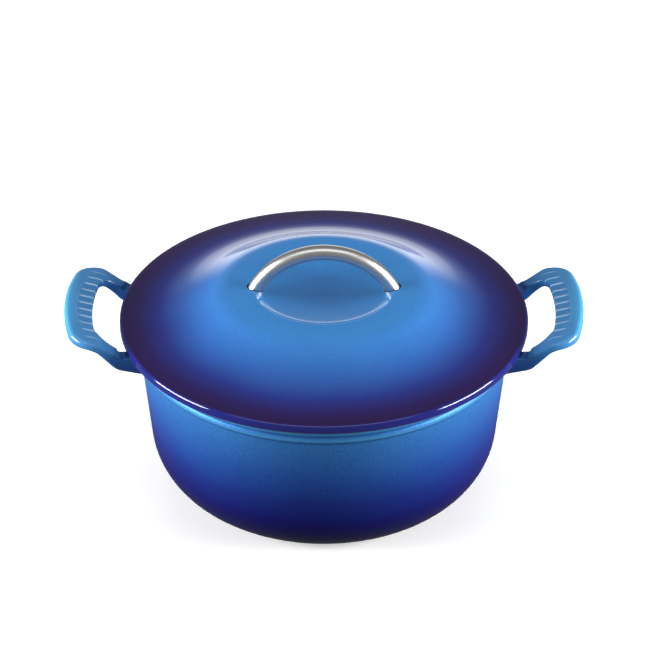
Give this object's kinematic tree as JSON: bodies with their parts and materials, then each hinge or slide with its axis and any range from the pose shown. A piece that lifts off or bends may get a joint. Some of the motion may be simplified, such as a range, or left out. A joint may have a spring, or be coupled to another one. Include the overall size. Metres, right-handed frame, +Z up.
{
  "type": "dutch oven",
  "caption": "Round enamelled cast iron dutch oven with flared walls, fluted loop handles and a wide domed lid with a steel arch handle.",
  "frame": {"origin": "centre of the pot's base, on the surface it stands on", "axes": "+Z up out of the pot's mouth, X through both loop handles, Y towards the back"},
  "size_m": [0.34, 0.268, 0.1768],
  "materials": {
    "blue_enamel_iron": "satin blue glass enamel over iron",
    "lid_enamel_iron": "gloss blue glass enamel over iron",
    "sand_enamel": "gloss glass enamel, off-white",
    "satin_steel": "satin stainless steel",
    "screw_steel": "bright stainless steel",
    "seal_silicone": "matt heat-proof silicone"
  },
  "bodies": {
    "pot": {"pot_body": "blue_enamel_iron", "left_handle": "blue_enamel_iron", "right_handle": "blue_enamel_iron", "pot_lining": "sand_enamel"},
    "lid": {"lid": "lid_enamel_iron", "lid_lining": "sand_enamel", "lid_handle": "satin_steel", "handle_screws": "screw_steel", "lock_washers": "screw_steel", "flat_washers": "screw_steel", "sealing_washers": "seal_silicone"}
  },
  "joints": [
    {"name": "lid_lift", "type": "slide", "parent": "pot", "child": "lid", "axis": [0, 0, 1], "range_m": [0, 0.16]}
  ]
}
